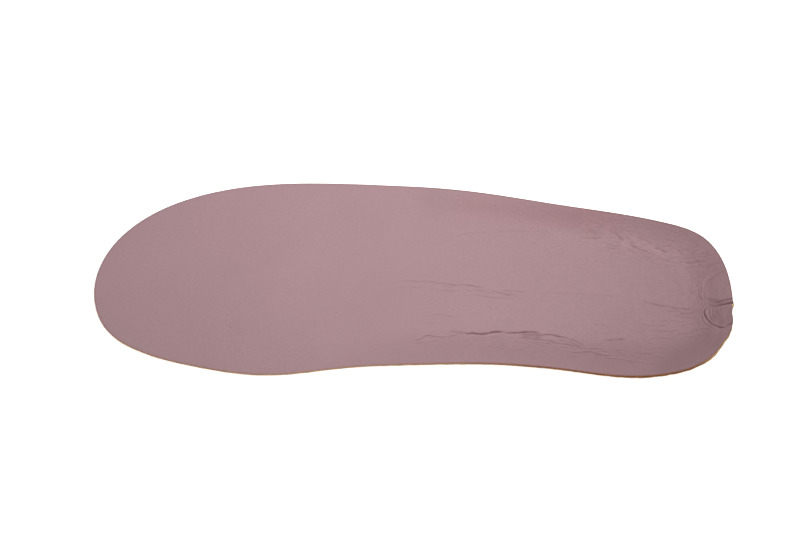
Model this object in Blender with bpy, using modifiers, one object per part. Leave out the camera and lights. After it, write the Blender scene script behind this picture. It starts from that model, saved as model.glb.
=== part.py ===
"""A moulded shoe insole for a right foot: a leather cover on a footbed with a heel cup and an arch flange.

Units are metres. +X points to the toe, +Y to the big-toe side, +Z up, and the underside rests on Z = 0.
"""

import bmesh
import bpy
import numpy as np

MM = 0.001
PERCENT = 0.01

# Driving dimensions
LENGTH = 250 * MM
BALL_WIDTH = 80.5 * MM
CUP_RISE = 10.5 * MM
LEATHER = 1.0 * MM
BOND_GAP = 0.3 * MM
HEEL_BASE = 3.4 * MM
FOREFOOT_BASE = 2.0 * MM
RIM_BASE = 0.9 * MM

# The underside: flat at heel and ball, arched between them, with the toe curving up
WAIST_LIFT = 1.4 * MM
WAIST_SPAN = (-24 * PERCENT * LENGTH, 15 * PERCENT * LENGTH)
TOE_SPRING = 2.6 * MM
SPRING_START = 34 * PERCENT * LENGTH

# The base thins from heel to forefoot over this stretch, measured from mid-length
THINNING = (-20 * PERCENT * LENGTH, 14 * PERCENT * LENGTH)

# The rim's wall: steeper on the underside than on top, and a flat rim's lower edge leans in
UNDER_WALL = 0.65
EDGE_LEAN = 0.4 * MM
LEAN_REACH = 5 * MM
EDGE_BLEND = 16 * MM

# Brings the middle of the finished box over the origin, because the base stands out a little under a raised rim
CENTRING = (0.22 * MM, -0.15 * MM)

# Places around the edge, from the heel along the big-toe side to the toe and back along the outer side.
# forward: percent of LENGTH from mid-length; side: percent of BALL_WIDTH; rise: percent of CUP_RISE;
# wall: width of the sloping wall in mm; flare: 0 is steepest at the rim, 1 levels out there.
EDGE_COLUMNS = ("place", "forward", "side", "rise", "wall", "flare")
EDGE = (
    ("heel back", -50.0, 13.0, 100, 18, 0.75),
    ("heel back inner", -49.5, 29.3, 100, 19, 0.80),
    ("heel inner corner", -45.2, 46.0, 100, 20, 0.85),
    ("heel inner", -39.4, 51.9, 98, 20, 0.85),
    ("heel inner front", -32.8, 52.9, 94, 19, 0.85),
    ("arch rear", -24.0, 48.9, 86, 17, 0.80),
    ("arch", -12.0, 45.2, 74, 16, 0.75),
    ("arch front", 2.0, 43.5, 30, 15, 0.70),
    ("ball rear inner", 9.6, 43.4, 4, 12, 0.70),
    ("ball inner", 22.4, 47.1, 0, 6, 0.70),
    ("big toe joint", 33.6, 43.5, 0, 6, 0.70),
    ("big toe side", 41.6, 37.1, 0, 6, 0.70),
    ("big toe corner", 48.2, 23.7, 0, 6, 0.70),
    ("toe tip", 50.0, 6.5, 0, 6, 0.70),
    ("toe outer", 48.4, -13.9, 0, 6, 0.70),
    ("small toe", 41.6, -35.2, 0, 6, 0.70),
    ("small toe joint", 32.0, -47.5, 0, 6, 0.70),
    ("ball outer", 17.6, -52.9, 0, 6, 0.70),
    ("waist outer front", 3.0, -51.2, 4, 9, 0.70),
    ("waist outer", -10.4, -47.5, 22, 10, 0.65),
    ("heel outer front", -24.8, -38.3, 50, 10, 0.60),
    ("heel outer", -40.0, -27.4, 74, 12, 0.60),
    ("heel outer corner", -45.9, -18.6, 88, 15, 0.65),
    ("heel back outer", -48.9, -4.3, 97, 17, 0.70),
)
TOE_TIP = [row[0] for row in EDGE].index("toe tip")

# Mesh density
SAMPLES_PER_PLACE = 24
STATIONS = 64
ACROSS = 22
END_CROWDING = 0.55
WELD = 1e-6

MATERIALS = {
    "leather_cover": ((0.43, 0.28, 0.30), 0.55),
    "footbed": ((0.30, 0.14, 0.06), 0.85),
}


def column(name):
    """One column of the edge table as an array."""
    place = EDGE_COLUMNS.index(name)
    return np.array([row[place] for row in EDGE], dtype=float)


def closed_spline(knots, values, at):
    """Smooth closed curve through the values; knots has one more entry than values."""
    count = len(values)
    span = np.diff(knots)
    slope = (np.roll(values, -1) - values) / span
    system = np.zeros((count, count))
    for i in range(count):
        system[i, i - 1] += span[i - 1]
        system[i, i] += 2 * (span[i - 1] + span[i])
        system[i, (i + 1) % count] += span[i]
    bend = np.linalg.solve(system, 6 * (slope - np.roll(slope, 1)))
    i = np.clip(np.searchsorted(knots, at, side="right") - 1, 0, count - 1)
    j = (i + 1) % count
    after = at - knots[i]
    before = knots[i + 1] - at
    line = (values[i] * before + values[j] * after) / span[i]
    curve_i = bend[i] * (before**3 / span[i] - span[i] * before)
    curve_j = bend[j] * (after**3 / span[i] - span[i] * after)
    return line + (curve_i + curve_j) / 6


def blended(knots, values, at):
    """A column between its places: straight from place to place, then smoothed along the edge."""
    line = np.interp(at, knots, np.append(values, values[0]))
    reach = int(EDGE_BLEND / (at[1] - at[0]))
    window = np.hanning(2 * reach + 1)
    ring = np.concatenate([line[-reach:], line, line[:reach]])
    return np.convolve(ring, window / window.sum(), mode="valid")


def inward(x, y):
    """Unit vectors that point in from a closed curve's samples, which run clockwise seen from above."""
    along_x = np.roll(x, -1) - np.roll(x, 1)
    along_y = np.roll(y, -1) - np.roll(y, 1)
    length = np.hypot(along_x, along_y)
    return along_y / length, -along_x / length


def trace_edge():
    """The rim seen from above, the wall's sizes along it, and the lines where the wall starts on each face."""
    x = column("forward") * PERCENT * LENGTH + CENTRING[0]
    y = column("side") * PERCENT * BALL_WIDTH + CENTRING[1]
    wall = column("wall") * MM
    chord = np.hypot(np.roll(x, -1) - x, np.roll(y, -1) - y)
    knots = np.concatenate([[0], np.cumsum(chord)])
    at = np.linspace(0, knots[-1], len(EDGE) * SAMPLES_PER_PLACE, endpoint=False)
    rim_x, rim_y = closed_spline(knots, x, at), closed_spline(knots, y, at)
    sample_at_place = np.searchsorted(at, knots[:-1])
    in_x, in_y = (part[sample_at_place] for part in inward(rim_x, rim_y))

    def root_line(reach):
        return closed_spline(knots, x + in_x * reach, at), closed_spline(knots, y + in_y * reach, at)

    return {
        "rim": (rim_x, rim_y),
        "top root": root_line(wall),
        "under root": root_line(wall * UNDER_WALL),
        "rise": blended(knots, column("rise") * PERCENT * CUP_RISE, at),
        "flare": blended(knots, column("flare"), at),
        "toe": sample_at_place[TOE_TIP],
    }


EDGE_CURVE = trace_edge()


def smooth(share):
    """0 to 1 with level ends."""
    share = np.clip(share, 0, 1)
    return share * share * (3 - 2 * share)


def measure(line, x, y):
    """Each point's distance inside a closed line, and the sample and share of a step where it is nearest."""
    ax, ay = EDGE_CURVE[line]
    bx, by = np.roll(ax, -1) - ax, np.roll(ay, -1) - ay
    px, py = x[:, None] - ax, y[:, None] - ay
    along = np.clip((px * bx + py * by) / (bx * bx + by * by), 0, 1)
    gap = np.hypot(px - along * bx, py - along * by)
    i = gap.argmin(axis=1)
    rows = np.arange(len(x))
    inside = px[rows, i] * by[i] - py[rows, i] * bx[i]
    return np.copysign(gap[rows, i], inside), i, along[rows, i]


def wall_rise(root, x, y, extra):
    """Height of the wall over the floor: 0 inside its root line, the rim's rise plus extra at the rim."""
    to_rim, i, share = measure("rim", x, y)
    past_root = np.maximum(-measure(root, x, y)[0], 0)
    q = past_root / np.maximum(past_root + np.maximum(to_rim, 0), WELD)

    def at_rim(name):
        values = EDGE_CURVE[name]
        return values[i] * (1 - share) + np.roll(values, -1)[i] * share

    flare = at_rim("flare")
    return (at_rim("rise") + extra) * ((1 - flare) * q * q + flare * smooth(q))


def underside_lift(x):
    """Height of the flat underside along the foot: 0 where it rests."""
    rear, front = WAIST_SPAN
    waist = np.clip((x - rear) / (front - rear), 0, 1)
    spring = np.clip((x - SPRING_START) / (LENGTH / 2 - SPRING_START), 0, 1)
    return WAIST_LIFT * np.sin(np.pi * waist) ** 2 + TOE_SPRING * spring**2


def base_thickness(x):
    """Thickness of the footbed inside its wall."""
    rear, front = THINNING
    return HEEL_BASE + (FOREFOOT_BASE - HEEL_BASE) * smooth((x - rear) / (front - rear))


def grain_height(x, y):
    """Height of the leather's upper face."""
    floor = underside_lift(x) + base_thickness(x) + BOND_GAP + LEATHER
    return floor + wall_rise("top root", x, y, 0)


def under_height(x, y):
    """Height of the footbed's lower face, which leaves the base RIM_BASE thick at the rim."""
    return underside_lift(x) + wall_rise("under root", x, y, base_thickness(x) - RIM_BASE)


def lean_in(x, y):
    """Points of the lower face, with a flat rim's edge moved in under the leather."""
    to_rim, i, _ = measure("rim", x, y)
    flat_rim = 1 - smooth(EDGE_CURVE["rise"][i] / CUP_RISE)
    lean = EDGE_LEAN * flat_rim * (1 - smooth(to_rim / LEAN_REACH))
    in_x, in_y = inward(*EDGE_CURVE["rim"])
    return x + lean * in_x[i], y + lean * in_y[i]


def side_curve(samples, share):
    """A point at a share of the length of one side of the rim, heel to toe."""
    x, y = (part[samples] for part in EDGE_CURVE["rim"])
    run = np.concatenate([[0], np.cumsum(np.hypot(np.diff(x), np.diff(y)))])
    return np.interp(share * run[-1], run, x), np.interp(share * run[-1], run, y)


def plan_point(along, across):
    """Plan position on the insole: along 0 to 1 from heel to toe, across -1 to 1 from outer to inner side."""
    count, toe = len(EDGE_CURVE["rise"]), EDGE_CURVE["toe"]
    along = along - END_CROWDING * np.sin(2 * np.pi * along) / (2 * np.pi)
    inner_x, inner_y = side_curve(np.arange(0, toe + 1), along)
    outer_x, outer_y = side_curve(np.arange(count, toe - 1, -1) % count, along)
    share = (1 + np.sin(across * np.pi / 2)) / 2
    return outer_x + (inner_x - outer_x) * share, outer_y + (inner_y - outer_y) * share


def coordinates(verts):
    return np.array([v.co for v in verts])


def place(verts, x, y, z):
    for vert, point in zip(verts, zip(x, y, z)):
        vert.co = point


def grain_sheet():
    """The leather's upper face as an open sheet, welded at the heel and toe tips."""
    sheet = bmesh.new()
    bmesh.ops.create_grid(sheet, x_segments=STATIONS, y_segments=ACROSS, size=1)
    grid = coordinates(sheet.verts)
    x, y = plan_point((1 + grid[:, 0]) / 2, grid[:, 1])
    place(sheet.verts, x, y, grain_height(x, y))
    bmesh.ops.remove_doubles(sheet, verts=sheet.verts, dist=WELD)
    bmesh.ops.recalc_face_normals(sheet, faces=sheet.faces)
    if sum(face.normal.z for face in sheet.faces) < 0:
        bmesh.ops.reverse_faces(sheet, faces=sheet.faces)
    sheet.normal_update()
    return sheet


def add_object(name, bm, collection):
    """Finish a mesh as a named object with its own material."""
    mesh = bpy.data.meshes.new(name)
    bm.to_mesh(mesh)
    bm.free()
    mesh.shade_smooth()
    colour, roughness = MATERIALS[name]
    material = bpy.data.materials.new(name)
    material.use_nodes = True
    shader = material.node_tree.nodes["Principled BSDF"]
    shader.inputs["Base Color"].default_value = (*colour, 1)
    shader.inputs["Roughness"].default_value = roughness
    shader.inputs["Metallic"].default_value = 0
    mesh.materials.append(material)
    piece = bpy.data.objects.new(name, mesh)
    collection.objects.link(piece)
    return piece


def leather_cover(collection):
    """The leather sheet, with its thickness below the grain face."""
    cover = add_object("leather_cover", grain_sheet(), collection)
    wall = cover.modifiers.new("thickness", "SOLIDIFY")
    wall.thickness = LEATHER
    wall.offset = -1
    wall.use_even_offset = True


def footbed(collection):
    """The moulded base: its top follows the leather's lower face, its underside is flat at heel and ball."""
    base = grain_sheet()
    for vert in base.verts:
        vert.co -= vert.normal * (LEATHER + BOND_GAP)
    lower = bmesh.ops.extrude_face_region(base, geom=base.faces[:])
    verts = [item for item in lower["geom"] if isinstance(item, bmesh.types.BMVert)]
    points = coordinates(verts)
    x, y = lean_in(points[:, 0], points[:, 1])
    place(verts, x, y, under_height(x, y))
    bmesh.ops.recalc_face_normals(base, faces=base.faces)
    add_object("footbed", base, collection)


def main():
    for item in list(bpy.data.objects):
        bpy.data.objects.remove(item, do_unlink=True)
    collection = bpy.data.collections.new("shoe_insole")
    bpy.context.scene.collection.children.link(collection)
    leather_cover(collection)
    footbed(collection)


main()
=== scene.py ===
"""Looks of the moulded shoe insole: creased mauve leather with a raw cut edge, on a cork and latex footbed.

Units are metres. +X points to the toe, +Y to the big-toe side, +Z up, and the insole stands on Z = 0.
"""

import math

import bmesh
import bpy
import numpy as np
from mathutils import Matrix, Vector, noise


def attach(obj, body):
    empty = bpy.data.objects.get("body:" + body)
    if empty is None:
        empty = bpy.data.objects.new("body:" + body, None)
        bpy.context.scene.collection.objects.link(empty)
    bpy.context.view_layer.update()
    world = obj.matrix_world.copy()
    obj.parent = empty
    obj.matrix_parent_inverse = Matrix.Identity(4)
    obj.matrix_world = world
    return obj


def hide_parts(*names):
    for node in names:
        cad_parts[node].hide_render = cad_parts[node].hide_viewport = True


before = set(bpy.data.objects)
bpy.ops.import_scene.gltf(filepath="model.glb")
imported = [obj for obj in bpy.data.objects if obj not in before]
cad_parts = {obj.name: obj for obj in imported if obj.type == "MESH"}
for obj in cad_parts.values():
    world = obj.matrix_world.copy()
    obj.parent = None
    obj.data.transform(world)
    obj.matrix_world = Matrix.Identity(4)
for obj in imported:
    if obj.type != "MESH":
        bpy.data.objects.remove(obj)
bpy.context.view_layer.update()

MM = 0.001
PERCENT = 0.01

# Sizes of the solids
LENGTH = 250 * MM
BALL_WIDTH = 80.5 * MM
CUP_RISE = 10.5 * MM
LEATHER = 1.0 * MM
BOND_GAP = 0.3 * MM
HEEL_BASE = 3.4 * MM
FOREFOOT_BASE = 2.0 * MM
RIM_BASE = 0.9 * MM
WAIST_LIFT = 1.4 * MM
WAIST_SPAN = (-24 * PERCENT * LENGTH, 15 * PERCENT * LENGTH)
TOE_SPRING = 2.6 * MM
SPRING_START = 34 * PERCENT * LENGTH
THINNING = (-20 * PERCENT * LENGTH, 14 * PERCENT * LENGTH)
UNDER_WALL = 0.65
EDGE_LEAN = 0.4 * MM
LEAN_REACH = 5 * MM
EDGE_BLEND = 16 * MM
CENTRING = (0.22 * MM, -0.15 * MM)

# Places around the edge, from the heel along the big-toe side to the toe and back along the outer side.
# forward: percent of LENGTH from mid-length; side: percent of BALL_WIDTH; rise: percent of CUP_RISE;
# wall: width of the sloping wall in mm; flare: 0 is steepest at the rim, 1 levels out there.
EDGE_COLUMNS = ("place", "forward", "side", "rise", "wall", "flare")
EDGE = (
    ("heel back", -49.98, 13.0, 100, 18, 0.47),
    ("heel back inner", -49.5, 29.3, 100, 19, 0.30),
    ("heel inner corner", -45.0, 45.1, 100, 20, 0.22),
    ("heel inner", -39.4, 50.7, 98, 20, 0.30),
    ("heel inner front", -32.8, 51.7, 94, 19, 0.42),
    ("arch rear", -24.0, 48.1, 86, 17, 0.47),
    ("arch", -12.0, 44.7, 74, 16, 0.50),
    ("arch front", 2.0, 43.2, 30, 15, 0.60),
    ("ball rear inner", 9.6, 42.9, 4, 12, 0.70),
    ("ball inner", 22.4, 46.5, 0, 6, 0.70),
    ("big toe joint", 33.6, 42.3, 0, 6, 0.70),
    ("big toe side", 41.6, 35.9, 0, 6, 0.70),
    ("big toe corner", 48.2, 23.0, 0, 6, 0.70),
    ("toe tip", 50.0, 6.5, 0, 6, 0.70),
    ("toe outer", 48.4, -13.9, 0, 6, 0.70),
    ("small toe", 41.6, -35.8, 0, 6, 0.70),
    ("small toe joint", 32.0, -48.0, 0, 6, 0.70),
    ("ball outer", 17.6, -53.1, 0, 6, 0.70),
    ("waist outer front", 3.0, -51.0, 4, 9, 0.50),
    ("waist outer", -10.4, -46.0, 27, 12, 0.25),
    ("heel outer front", -24.8, -37.8, 52, 12, 0.20),
    ("heel outer", -40.0, -28.1, 70, 12, 0.15),
    ("heel outer corner", -45.9, -19.7, 84, 14, 0.20),
    ("heel back outer", -49.0, -4.5, 95, 16, 0.35),
)
TOE_TIP = [row[0] for row in EDGE].index("toe tip")
SAMPLES_PER_PLACE = 24
SLOPE_STEP = 0.1 * MM
WELD = 1e-6
CHUNK = 4000

# Creases pressed into the leather, zone by zone: soft troughs with raised shoulders. shoulder is a share of
# the depth, and lean widens the trough towards the inner side (+) or the outer side (-). Each crease then has
# its depth and width in mm and a path through (forward, side) points in mm.
FOLDS = (
    ("arch root", 0.2, 0.8, (
        (0.22, 0.28, ((-13.5, 20.9), (-15.4, 20.4), (-17.6, 20.4), (-20.5, 20.8))),
        (0.62, 0.30, ((-18.5, 20.5), (-20, 20.7), (-21.4, 21.2), (-23.2, 20.9), (-25.4, 21.3), (-27.6, 21.2),
                      (-30.1, 20.8), (-32, 20.4), (-35.1, 20.3), (-37.2, 19.8))),
        (0.44, 0.28, ((-34.5, 20.4), (-37, 20.7), (-39.5, 20.7), (-42, 20.6), (-44.2, 20.3), (-47.4, 20.4),
                      (-51, 20.8))),
        (0.34, 0.28, ((-40, 21.3), (-44.9, 21.4), (-47.4, 21.4), (-51.1, 21.5), (-52.4, 21.2), (-54.9, 21.5),
                      (-57.4, 22.1), (-59.9, 22.6), (-62.5, 22.6))),
        (0.25, 0.28, ((-58.5, 22.4), (-62.4, 23.4), (-63.6, 23.8), (-64.9, 24.6), (-66.1, 25.6),
                      (-67.4, 26.5), (-68.6, 27.4), (-70.5, 27.4), (-75, 27.2))),
    )),
    ("arch wall", 0.2, 0, (
        (0.28, 0.26, ((-42, 21.8), (-46.4, 22.3), (-49.5, 22.3), (-51, 22.6))),
        (0.26, 0.26, ((-41, 22.5), (-47, 23.1), (-50.8, 23.5), (-53.6, 23.8), (-57, 23.9))),
        (0.28, 0.26, ((-53, 24.3), (-58, 25.1), (-60.5, 25.4), (-62.7, 26.2), (-64.6, 27.1), (-66.5, 28.5))),
        (0.30, 0.28, ((-59, 29), (-64.3, 29.3), (-67.4, 29.1), (-69.3, 28.7), (-70.5, 29.3), (-71.8, 29.8),
                      (-74.3, 30.6), (-80, 30.6))),
        (0.16, 0.26, ((-59.5, 31.6), (-64.5, 31.3))),
        (0.16, 0.26, ((-46, 24.4), (-50, 24.8), (-54.5, 25.3))),
        (0.18, 0.26, ((-56, 23.1), (-60, 24), (-63, 25.2), (-66, 26.8), (-68.5, 28.2))),
        (0.14, 0.26, ((-57, 26.4), (-61, 27.2), (-64.5, 28.4))),
        (0.16, 0.26, ((-74.5, 32.5), (-78, 32.2), (-80.5, 32.4), (-83, 33.3), (-86.8, 34.3), (-92, 34.9))),
        (0.14, 0.26, ((-25.5, 27.7), (-30, 28))),
        (0.12, 0.26, ((-32, 27), (-35.5, 27.8))),
        (0.16, 0.28, ((-37.5, 29.2), (-40.1, 28.7), (-42.8, 28.4))),
        (0.26, 0.26, ((-75, 23.6), (-78, 23.5), (-80.5, 23.2), (-83.5, 23.2))),
        (0.14, 0.26, ((-71, 17), (-74.3, 17.3), (-79, 17.9))),
    )),
    ("arch front", 0.2, 0, (
        (0.26, 0.28, ((0.5, 24.4), (-2.6, 23.4), (-4.8, 22.1), (-6.1, 21.8), (-7.6, 22.2), (-10.1, 22.6),
                      (-12.3, 22.6), (-14.2, 21.9))),
        (0.22, 0.28, ((-13.5, 22.3), (-15.4, 22.1), (-16.7, 21.6), (-18.3, 21), (-20.5, 21.2))),
        (0.14, 0.28, ((0, 25.4), (-4, 25), (-7.3, 24.6), (-9.2, 24.3), (-11.2, 23.6))),
        (0.14, 0.28, ((-6.5, 13.3), (-11.1, 13.2), (-13.2, 13.5), (-14.8, 14), (-16.8, 14.2))),
        (0.08, 0.28, ((-4, 16.5), (-9.5, 16.4))),
    )),
    ("centre", 0.2, 0, (
        (0.15, 0.28, ((6.5, -0.8), (2.6, -1), (0.1, -1.1), (-1.8, -0.6), (-4.3, -0.8), (-6.1, -0.6),
                      (-8, -0.2), (-10.5, 0.1), (-14, 0.3))),
        (0.19, 0.28, ((-9, 0), (-12.5, 0.2), (-15, 0.7), (-17, 1), (-20, 0.8), (-23, 1.2), (-26.5, 1.8),
                      (-30, 2.1))),
        (0.13, 0.26, ((-11.5, 1.2), (-14, 1.4), (-15.2, 2), (-16.5, 2.1))),
        (0.11, 0.28, ((6.5, 1.6), (2.6, 1.4), (-0.5, 1.7), (-4.5, 1.8))),
        (0.12, 0.28, ((-4.5, 2.2), (-8, 2.5), (-10, 3), (-12.5, 3.1), (-16, 3.4), (-20, 3.2))),
        (0.12, 0.28, ((-18.5, 2.7), (-21.8, 3.1), (-24.9, 3.1), (-28.6, 3.1), (-32, 2.9))),
        (0.22, 0.28, ((-30, 2.9), (-32.7, 3.8), (-34.9, 4.2), (-36.8, 4.8), (-40.5, 4.9))),
        (0.12, 0.28, ((-25.5, 3.4), (-28.6, 4.2), (-32.5, 4.5))),
        (0.15, 0.28, ((-22, 5), (-24.9, 4.9), (-28, 5.6), (-31.1, 6.1), (-34.3, 6.2), (-37.4, 6.2),
                      (-40.5, 5.9), (-43, 5.4))),
        (0.15, 0.28, ((-34.5, 3.2), (-38.6, 3.2), (-41.1, 3.4), (-45, 3.6))),
        (0.08, 0.30, ((-42, 3.6), (-50, 3.6), (-58, 4.1), (-74, 4.8), (-84, 5.8), (-92.5, 8))),
    )),
    ("heel centre", 0.2, 0, (
        (0.22, 0.28, ((-88, 6.6), (-91.7, 7.8), (-94, 8.3), (-96, 8.8), (-97.6, 9.3), (-100.6, 9.4),
                      (-102.2, 10.1), (-104, 10.4), (-105.8, 10.6), (-108.1, 10.7), (-111.5, 11))),
        (0.14, 0.26, ((-99.5, 11.6), (-104, 11.5), (-106, 11.7))),
        (0.20, 0.28, ((-104.5, 12.5), (-108.5, 12.7), (-111, 12.2))),
        (0.14, 0.26, ((-102, 13.6), (-106.5, 13.9), (-110, 14.4), (-112.6, 14.2))),
    )),
    ("pleat", 0.5, 0, (
        (0.22, 0.28, ((-114.6, 6.6), (-115.4, 7.6), (-116.5, 8.8), (-117.9, 9.6), (-119.2, 9.9),
                      (-121.7, 9.9))),
        (0.28, 0.28, ((-117, 9.2), (-119.2, 9.9), (-121.7, 9.9), (-128, 9.8))),
        (0.22, 0.28, ((-115.8, 10.4), (-116.7, 10.9), (-118.1, 11.5), (-121, 11.5))),
        (0.42, 0.28, ((-118, 11.4), (-120.4, 11.5), (-128, 11.7))),
        (0.25, 0.28, ((-115.9, 7), (-117.2, 8.3), (-119.5, 9.2))),
    )),
    ("lower lobe", 0.8, 0, (
        (0.46, 0.30, ((-116.4, 10.8), (-115, 11.4), (-114.4, 12.1), (-114.2, 13.5), (-114.9, 15.4),
                      (-115.8, 17), (-116.7, 18.3), (-118.5, 19.7), (-120.4, 21), (-122.8, 21.5))),
        (0.24, 0.26, ((-116.6, 11.2), (-116.1, 12.2), (-116, 13.4), (-116.3, 14.9), (-117.1, 17),
                      (-118.4, 18.6))),
        (0.22, 0.26, ((-117.4, 12.2), (-117.1, 13.6), (-117.4, 15.2), (-118.2, 17))),
        (0.16, 0.28, ((-113.4, 12.5), (-113.1, 15.8), (-114.2, 17.8), (-115.5, 19.3), (-118, 21.2))),
        (0.30, 0.28, ((-120.8, 20.6), (-122.2, 20.6), (-123.6, 20.1), (-127, 19.6))),
        (0.40, 1.50, ((-117.6, 11.6), (-117, 13.5), (-117.3, 16), (-118.6, 18.3), (-121, 19.6))),
    )),
    ("upper lobe", 0.4, 0, (
        (0.15, 0.30, ((-121.5, -1.8), (-118.5, -1.5), (-117.4, -0.5), (-115.8, 0.4), (-114.9, 1.5),
                      (-114.8, 3.6))),
        (0.34, 1.05, ((-121.5, -2.2), (-118.5, -1.6), (-116.6, -0.2), (-115.5, 1.6), (-115.2, 4.5),
                      (-115.6, 7))),
        (0.20, 1.05, ((-117.4, 1), (-117.1, 4), (-117.6, 7))),
        (0.13, 0.28, ((-114.8, 2.6), (-114.6, 4.9), (-114.2, 6.3), (-115, 7.6))),
        (0.24, 0.28, ((-112.2, 2.6), (-112.4, 5), (-112.7, 6.3), (-113.8, 7.9))),
        (0.14, 0.28, ((-113.5, 0.2), (-113.2, 2.6), (-113.4, 5.2))),
        (0.16, 0.28, ((-114.6, -4.4), (-116, -5), (-118, -5.8))),
        (0.16, 0.28, ((-111.5, 5.2), (-111.8, 6.6), (-112.6, 8))),
        (0.14, 0.28, ((-116.5, 2.4), (-116.6, 4.2), (-116.8, 6.4))),
        (0.22, 0.28, ((-115.8, -2.8), (-117.2, -2.8), (-119.5, -3.6))),
        (0.10, 0.30, ((-108.7, -1), (-108.8, 2), (-109.4, 5))),
        (0.10, 0.30, ((-109.8, -0.5), (-110, 3), (-110.8, 6.5))),
    )),
    ("outer wall", 0.2, 0, (
        (0.22, 0.28, ((-68, -24.3), (-69.5, -21.9), (-71.4, -21.1), (-74.5, -20.4))),
        (0.14, 0.28, ((-67.5, -21), (-73, -20))),
        (0.18, 0.28, ((-67, -19.3), (-71.4, -18.9), (-75.5, -18.5))),
        (0.12, 0.28, ((-74.5, -22.1), (-79.3, -21.5))),
        (0.24, 0.28, ((-79.3, -21.2), (-81.4, -19.7), (-82.9, -18.2), (-84, -17.7))),
        (0.16, 0.26, ((-84, -18.9), (-86, -17.6), (-88, -15.8))),
        (0.12, 0.26, ((-85.5, -13.6), (-89, -13), (-91.5, -11.9), (-94, -10.8))),
        (0.12, 0.26, ((-88, -18.6), (-91, -17.9), (-93.5, -16.9))),
        (0.12, 0.26, ((-97, -11), (-100.5, -9.2), (-104, -8.2))),
        (0.32, 0.28, ((-85.5, -16.4), (-87, -15.6), (-88.9, -14.7), (-90.4, -14.1), (-92, -13.6),
                      (-93.9, -12.7), (-96, -11.5))),
        (0.14, 0.28, ((-95.5, -11.9), (-98, -10.8), (-102, -9.4))),
        (0.28, 0.28, ((-95, -14.7), (-97.6, -14.1), (-99.2, -13.2), (-101.5, -12.9))),
        (0.14, 0.28, ((-84.5, -14.6), (-87.8, -13))),
        (0.14, 0.28, ((-89.3, -18.4), (-92.6, -17.2), (-95.5, -15.6))),
        (0.18, 0.28, ((-98, -15), (-103, -15))),
        (0.18, 0.28, ((-103.5, -13.1), (-108.3, -12.8), (-111.3, -13.4), (-113.5, -14.4))),
        (0.16, 0.28, ((-104.5, -11.9), (-109.5, -11.6), (-113.5, -12.1))),
        (0.16, 0.28, ((-101, -10.2), (-105.1, -10.1), (-108.3, -9.9), (-111.4, -9.9), (-115.1, -9.4),
                      (-119, -9))),
        (0.12, 0.26, ((-107.5, -6.6), (-111, -6.1), (-114.5, -6.4))),
        (0.20, 0.28, ((-103.5, -9.2), (-108.7, -8), (-112, -8), (-116.5, -7.6))),
        (0.14, 0.28, ((-111.8, -10.8), (-116.8, -10.4))),
        (0.12, 0.30, ((-113, -5.5), (-117, -5.3), (-120.5, -5.6))),
        (0.08, 0.35, ((-12, -19.4), (-24, -21), (-35, -21.8), (-60, -21.6))),
    )),
    ("inner wall", 0.2, 0, (
        (0.16, 0.28, ((-90.5, 19.5), (-96, 19.6), (-100, 19.8), (-103, 19.7), (-106, 20.4))),
        (0.16, 0.28, ((-103, 21.4), (-106.8, 20.9), (-110.5, 20.4))),
        (0.16, 0.28, ((-109, 19.4), (-113, 19.8), (-116, 20.5))),
        (0.12, 0.28, ((-96, 15.8), (-102, 15.6), (-107.5, 16.2))),
        (0.12, 0.28, ((-104, 17.6), (-109, 17.3), (-114, 18))),
        (0.12, 0.28, ((-92, 22.6), (-98, 22.5), (-104, 23))),
        (0.12, 0.28, ((-106.5, 23.2), (-112, 22.4), (-117, 23))),
        (0.10, 0.28, ((-88, 17), (-95, 17.5), (-101, 17.6))),
        (0.14, 0.28, ((-86, 29.4), (-91.8, 29.7), (-93.5, 30.5))),
        (0.14, 0.28, ((-94, 31.1), (-99, 32.2))),
        (0.14, 0.28, ((-78.5, 27.8), (-83, 28))),
        (0.12, 0.28, ((-73, 28.9), (-79, 28.8))),
        (0.14, 0.28, ((-75.5, 32), (-80.8, 32.1))),
    )),
)

# How a crease is shaped. RELIEF scales every depth, SWALE is the part of it that is a wide hollow, and
# FOLD_TAPER is the part of the length that fades at each end. FOLD_REACH, RIDGE_AT and the widths without MM
# are in widths of the trough, and FARTHEST_GAP is in mm.
RELIEF = 1.35
DEEPEST = 0.75 * MM
FULL_MARK = 0.5 * MM
FOLD_STEPS = 8
FOLD_REACH = 9.0
FOLD_TAPER = 0.2
SWALE = 0.35
SWALE_WIDTH = 3.6
RIDGE_AT = 2.1
RIDGE_WIDTH = 1.2
MARK_WIDTH = 2.2
CREST = 2.0
LINE_FADE = 0.32 * MM
SHADE_WIDTH = 0.55 * MM
BROAD = 1.0 * MM
FARTHEST_GAP = 2.0

# How a crease wanders from its path and changes its depth along it, and what makes each crease differ
WANDER = 0.10 * MM
WANDER_RUN = 2.2 * MM
WANDER_ROW = 0
UNEVEN = 0.5
UNEVEN_RUN = 3.1 * MM
UNEVEN_ROW = 5
ZONE_SEED = 1.7
FOLD_SEED = 0.31

# Soft waves of the whole face, as pairs of height and size, and the rim rubbed round
WAVES = ((0.05 * MM, 16 * MM), (0.025 * MM, 5 * MM))
FIELD_SLICE = 0.37
RIM_WEAR = 0.14 * MM
RIM_WEAR_WIDTH = 0.45 * MM

# Bands of finely rucked leather: half width in mm, strength, and a path of (forward, side) points in mm
RUCKS = (
    ("outer wall root", 5.5, 1.0,
     ((-62, -22.5), (-74, -20.5), (-86, -16.5), (-97, -13), (-108, -10), (-119, -6))),
    ("arch wall", 5.0, 0.6, ((-15, 24.5), (-40, 25), (-62, 27.5), (-80, 31), (-97, 32.5))),
    ("heel back", 4.0, 0.8, ((-114.5, -8), (-111.5, 1), (-111, 9), (-111.5, 16), (-114, 22))),
    ("inner heel floor", 5.0, 0.45, ((-70, 18), (-90, 19.5), (-110, 20))),
)
RUCK_FADE = 8 * MM

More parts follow.
